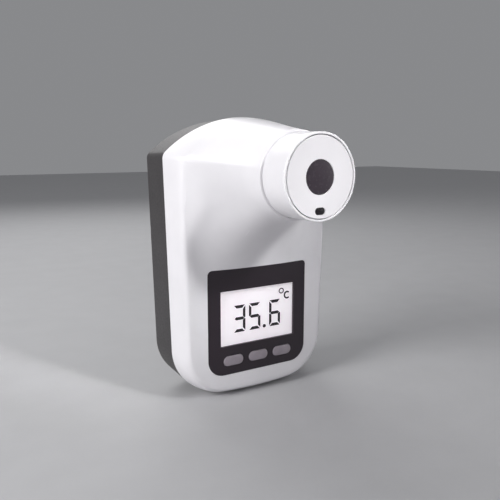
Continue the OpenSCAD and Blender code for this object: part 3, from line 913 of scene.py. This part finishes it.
def make_rear_shell():
    def ring(inset, depth):
        return with_depth(outline(inset), depth)

    # A rounded back edge, then a side that widens towards a fine groove at the parting line
    rings = [ring(REAR_DRAFT + REAR_EDGE * (1 - math.sin(a)), REAR_EDGE * (1 - math.cos(a)))
             for a in np.radians(np.linspace(0, 90, 7))]
    rings += [ring(lerp(REAR_DRAFT, PARTING_GAP * 0.05, t), lerp(REAR_EDGE, REAR_D - PARTING_GAP, t))
              for t in (0.25, 0.5, 0.75, 1)]
    rings.append(ring(PARTING_GAP, REAR_D))
    shell = skin("rear_shell_body", rings)
    combine(shell, [skin("cavity", [ring(REAR_DRAFT + REAR_WALL, BACK_WALL), ring(REAR_WALL, REAR_D + 1)])])

    # Battery box, screw posts and the boss of the tripod insert
    solid = [prism("bay_box", box_points(0, BAY_Z, BAY_W + 2 * BAY_WALL, BAY_H + 2 * BAY_WALL),
                   BACK_WALL - 1, BAY_FLOOR + BAY_WALL)]
    solid += [prism("post", circle_points(x, z, CASE_POST_R), BACK_WALL - 1, REAR_D)
              for x, z in CASE_SCREWS]
    solid += [prism("usb_post", circle_points(x, z, USB_POST_R), BACK_WALL - 1, -USB_Y - 2.9)
              for x, z in USB_SCREWS]
    solid.append(upright("tripod_boss", circle_points(0, TRIPOD_Y, TRIPOD_BOSS_R, 64),
                         -half_h + 0.2, -half_h + 13.2))
    combine(shell, solid, "UNION")

    # Battery bay, the door's seat with its hinge holes, and the finger scoop
    cuts = [prism("bay", box_points(0, BAY_Z, BAY_W, BAY_H, 0.8), -1, BAY_FLOOR)]
    seat_z = (DOOR_FOOT + DOOR_TOP) / 2 - 0.45
    cuts.append(prism("seat", box_points(0, seat_z, DOOR_W + 0.5, DOOR_TOP - DOOR_FOOT + 1.4), -1,
                      -DOOR_Y + DOOR_T / 2 + 0.25))
    for side in (-1, 1):
        cuts.append(cross_bar("pin_hole", DOOR_Y, DOOR_FOOT, 0.76, side * DOOR_W / 2,
                              side * (DOOR_W / 2 + 2.3)))
        x = side * (CELLS - 1) / 2 * CELL_PITCH
        cuts.append(prism("lead_slot", box_points(x, BAY_Z + BAY_H / 2 + 1, 3.6, 4), -CELL_Y - 0.6,
                          -CELL_Y + 0.6))
    cuts.append(ball("scoop", (0, 6.2, DOOR_TOP + 1), 8))

    # Keyhole, sound holes, screw wells and the bottom sockets
    cuts.append(prism("keyhole", keyhole_points(), -1, BACK_WALL + 1))
    cuts += [prism("sound_hole", circle_points(SOUND_X, SOUND_Z + SOUND_PITCH * k, SOUND_R, 24),
                   -1, BACK_WALL + 1) for k in range(-2, 3)]
    cuts += [prism("well", circle_points(x, z, WELL_R), -1, WELL_D) for x, z in CASE_SCREWS]
    cuts += [prism("screw_hole", circle_points(x, z, SCREW_HOLE_R, 24), WELL_D - 1, REAR_D + 1)
             for x, z in CASE_SCREWS]
    cuts += [prism("usb_pilot", circle_points(x, z, PILOT_R, 24), 8, 20) for x, z in USB_SCREWS]
    cuts.append(upright("tripod_hole", circle_points(0, TRIPOD_Y, TRIPOD_R, 64),
                        -half_h - 1, -half_h + 11.4))
    cuts.append(upright("usb_slot", oval_points(USB_X, USB_Y, 9.6, 3.9), -half_h - 2, -half_h + 7))
    combine(shell, cuts)
    tidy(shell)
    smooth(shell, 30, flat_back=True)
    bevel(shell, 0.22, weighted=False)
    dress(shell, LOOKS["case_grey"], "case", "case_grey", "rear_shell")


def keyhole_points():
    """Outline of the keyhole: a round mouth for the screw's head and a narrow neck above it."""
    mouth_z, neck_z, mouth_r, neck_r = 36, 45, 4.4, 2.3
    meet = math.degrees(math.asin(neck_r / mouth_r))
    out = []
    for a in np.radians(np.linspace(90 + meet, 450 - meet, 49)):
        out.append((mouth_r * math.cos(a), mouth_z + mouth_r * math.sin(a)))
    for a in np.radians(np.linspace(0, 180, 25)):
        out.append((neck_r * math.cos(a), neck_z + neck_r * math.sin(a)))
    return out


def make_battery_door():
    thick = DOOR_T / 2
    section = [(DOOR_Y - thick, DOOR_TOP), (DOOR_Y + thick, DOOR_TOP)]
    section += [(DOOR_Y + thick * math.cos(a), DOOR_FOOT - thick * math.sin(a))
                for a in np.radians(np.linspace(0, 180, 17))]
    door = along_x("battery_door_leaf", section, -DOOR_W / 2, DOOR_W / 2)
    pins = [cross_bar("pin", DOOR_Y, DOOR_FOOT, 0.7, side * (DOOR_W / 2 - 1), side * (DOOR_W / 2 + 1.8))
            for side in (-1, 1)]
    combine(door, pins, "UNION")
    grooves = [prism("groove", oval_points(0, DOOR_TOP - 5 - GROOVE_PITCH * k, GROOVE_W, GROOVE_H, 8), -2,
                     -DOOR_Y - thick + GROOVE_D) for k in range(5)]
    combine(door, grooves)
    tidy(door)
    smooth(door, 30)
    bevel(door, 0.15)
    dress(door, LOOKS["door_grey"], "battery_door", "door_grey", "battery_door")


# ---------------------------------------------------------------- nose
def make_nose():
    front = NOSE_D
    sleeve = lathe("nose_tube", rounded([
        (NOSE_BORE, 76, 0), (NOSE_R - 0.1, 76, 0.3), (NOSE_R - 0.1, 80, 0), (NOSE_R, 82, 0),
        (NOSE_R, front - 1.45, 0.08), (NOSE_BORE, front - 1.45, 0.08), (NOSE_BORE, front - 5.4, 0),
        (SEAT_R, front - 5.4, 0.2), (SEAT_R, front - 7, 0.2), (NOSE_BORE, front - 8.5, 0)]))
    smooth(sleeve, 40)
    dress(sleeve, LOOKS["case_white"], "case", "case_white", "nose_sleeve")

    bezel = lathe("nose_rim", rounded([
        (BEZEL_BORE, front - 1.4, 0.05), (NOSE_R, front - 1.4, 0.08), (NOSE_R, front, 0.45),
        (BEZEL_BORE, front, 0.3)], 7))
    smooth(bezel, 60)
    dress(bezel, LOOKS["bezel_white"], "case", "bezel_white", "nose_bezel")

    inner = WINDOW_R + 0.12
    dish = lathe("dish_cone", rounded([
        (inner, front - 2.4, 0), (inner, front - 0.75, 0.15), (21.55, front - 0.12, 0.35),
        (21.55, front - 5.3, 0), (20.2, front - 5.3, 0), (19.8, front - 2.6, 0),
        (12.6, front - 3.2, 0), (12.6, front - 9, 0), (11.2, front - 9, 0), (11.2, front - 3.6, 0),
        (WINDOW_R - 1, front - 3.6, 0), (WINDOW_R - 1, front - 2.4, 0)]))
    posts = [(POST_CIRCLE_R * math.cos(a), NOSE_Z + POST_CIRCLE_R * math.sin(a))
             for a in map(math.radians, POST_ANGLES)]
    combine(dish, [prism("dish_post", circle_points(x, z, 2.2, 32), 84.2, front - 2.8) for x, z in posts],
            "UNION")
    cuts = [prism("post_hole", circle_points(x, z, PILOT_R, 24), 80, 92) for x, z in posts]
    cuts.append(prism("slot", oval_points(0, NOSE_Z - SLOT_DROP, SLOT_W, SLOT_H), front - 8, front + 1))
    combine(dish, cuts)
    smooth(dish, 30)
    bevel(dish, 0.12, 50)
    dress(dish, LOOKS["dish_white"], "case", "dish_white", "sensor_dish")

    lens = lathe("infrared_lens", [(0, front - 2.35), (WINDOW_R, front - 2.35), (WINDOW_R, front - 1.2),
                                   (WINDOW_R - 0.15, front - 1.05), (WINDOW_R - 1.2, front - 0.99),
                                   (WINDOW_R * 0.5, front - 0.92), (0, front - 0.9)], closed=False)
    smooth(lens, 40)
    dress(lens, LOOKS["sensor_dark"], "case", "sensor_dark", "sensor_window")

    eye = loft("proximity_eye", 0, NOSE_Z - SLOT_DROP, [
        (SLOT_W - 0.1, SLOT_H - 0.1, front - 3.6), (SLOT_W - 0.1, SLOT_H - 0.1, front - 1.0),
        (SLOT_W - 0.3, SLOT_H - 0.3, front - 0.82), (SLOT_W - 0.9, SLOT_H - 0.9, front - 0.72)])
    smooth(eye, 50)
    dress(eye, LOOKS["proximity_dark"], "case", "proximity_dark", "proximity_window")


# ---------------------------------------------------------------- display and keys
READING = (("3", -16.9), ("5", -5.9), ("6", 9.1))
STROKES = {"3": "abgcd", "5": "afgcd", "6": "afgecd"}
DIGIT_W = 8.4
DIGIT_TOP = -28.0
DIGIT_MID = -36.4
DIGIT_FOOT = -45.0
STROKE = 1.9
STROKE_GAP = 0.34
UPRIGHT_STROKE = STROKE * 0.92
MIDDLE_SHORT = 0.45
INK_BACK = 0.02
INK_FRONT = 0.14
# The point's place and radius, then each ring's place, radii and width
POINT = (5.5, -44.0, 1.15)
DEGREE = (18.3, -22.9, 2.0, 1.85, 0.7)
UNIT = (22.8, -26.1, 2.6, 2.6, 1.1)


def stroke(kind, left):
    """Outline of one stroke, named a to g, of a seven-segment digit."""
    right = left + DIGIT_W
    half = STROKE / 2
    gap = STROKE_GAP
    if kind == "g":
        end = gap + MIDDLE_SHORT
        return [(left + end + half, DIGIT_MID + half), (right - end - half, DIGIT_MID + half),
                (right - end, DIGIT_MID), (right - end - half, DIGIT_MID - half),
                (left + end + half, DIGIT_MID - half), (left + end, DIGIT_MID)]
    if kind in "ad":
        z, way = (DIGIT_TOP, -1) if kind == "a" else (DIGIT_FOOT, 1)
        return [(left + gap, z), (right - gap, z), (right - gap - STROKE, z + way * STROKE),
                (left + gap + STROKE, z + way * STROKE)]
    x, way = (right, -1) if kind in "bc" else (left, 1)
    z, down = (DIGIT_TOP, -1) if kind in "bf" else (DIGIT_FOOT, 1)
    near_mid = DIGIT_MID - down * gap
    return [(x, z + down * gap * 2), (x, near_mid), (x + way * UPRIGHT_STROKE * 0.5, near_mid),
            (x + way * UPRIGHT_STROKE, DIGIT_MID - down * (gap + half)),
            (x + way * UPRIGHT_STROKE, z + down * (gap * 2 + STROKE))]


def band(cx, cz, rx, rz, width, start, end, n):
    """Outer and inner line of a stroke that follows an elliptic arc."""
    turns = np.radians(np.linspace(start, end, n + 1))
    outer = [(cx + rx * math.cos(a), cz + rz * math.sin(a)) for a in turns]
    inner = [(cx + (rx - width) * math.cos(a), cz + (rz - width) * math.sin(a)) for a in turns]
    return outer, inner


def make_reading():
    """The dark segments in front of the display cell: a temperature with its unit."""
    depth = (-cell_low.y + INK_BACK, -cell_low.y + INK_FRONT)
    pieces = [prism("stroke", stroke(kind, left), *depth) for digit, left in READING
              for kind in STROKES[digit]]
    pieces.append(prism("point", circle_points(*POINT, 20), *depth))
    pieces.append(ring_prism("degree", *band(*DEGREE, 0, 360, 40), *depth))
    pieces.append(ring_prism("unit", *band(*UNIT, 48, 312, 30), *depth, closed=False))
    ink = merge("lcd_segments", pieces)
    dress(ink, LOOKS["lcd_ink"], "case", "chip_black")


def make_keys():
    top = FACE_D + KEY_PROUD
    for side, name in ((-1, "left"), (0, "middle"), (1, "right")):
        # Stem, flange and cap, then the cap's rounded edge and its crown
        rings = [(KEY_STEM, KEY_STEM, 35.6), (KEY_STEM, KEY_STEM, 38.6),
                 (KEY_W + KEY_FLANGE, KEY_H + KEY_FLANGE, 38.6),
                 (KEY_W + KEY_FLANGE, KEY_H + KEY_FLANGE, 39.55),
                 (KEY_W + 0.3, KEY_H + 0.3, 39.7), (KEY_W, KEY_H, 39.85), (KEY_W, KEY_H, top - 0.75)]
        for a in np.radians([18, 36, 54, 72, 90]):
            inset = KEY_EDGE * (1 - math.cos(a))
            rings.append((KEY_W - 2 * inset, KEY_H - 2 * inset, top - 0.75 + KEY_EDGE * math.sin(a)))
        for share in (0.35, 0.65, 0.88):
            inset = KEY_EDGE + share * (KEY_H / 2 - KEY_EDGE)
            rings.append((KEY_W - 2 * inset, KEY_H - 2 * inset, top - 0.15 * (1 - share) ** 2))
        key = loft("key_cap_" + name, side * KEY_PITCH, KEY_Z, rings)
        smooth(key, 45)
        dress(key, LOOKS["key_grey"], "button_" + name, "key_grey", "button_" + name)


# ---------------------------------------------------------------- battery springs
def make_springs():
    foot = -BAY_H / 2 + 0.4
    top = BAY_H / 2 - 0.5 - CELL_L
    coils = []
    for k in range(CELLS):
        x = (k - (CELLS - 1) / 2) * CELL_PITCH
        flip = -1 if k % 2 else 1
        path = []
        for t in np.linspace(0, 1, 120):
            turn = math.tau * SPRING_TURNS * t
            r = lerp(SPRING_FOOT_R, SPRING_TOP_R, t)
            z = lerp(foot + 0.35, top - 0.35, ease(t) * 0.4 + t * 0.6)
            path.append((x + r * math.cos(turn), CELL_Y + r * math.sin(turn), BAY_Z + flip * z))
        coils.append(wire("coil", path, SPRING_WIRE_R))
    springs = merge("spring_coils", coils)
    smooth(springs, 60)
    dress(springs, LOOKS["nickel"], "case", "nickel", "battery_springs")


# ---------------------------------------------------------------- build
make_camera()
make_stage()
make_front_shell()
make_rear_shell()
make_battery_door()
make_panel()
make_nose()
make_reading()
make_keys()
make_springs()

slots = {part["node"]: part["material_slot"] for part in frame["record"]["subparts"]}
for node, obj in frame["nodes"].items():
    obj.data.materials.clear()
    obj.data.materials.append(LOOKS[slots[node]])
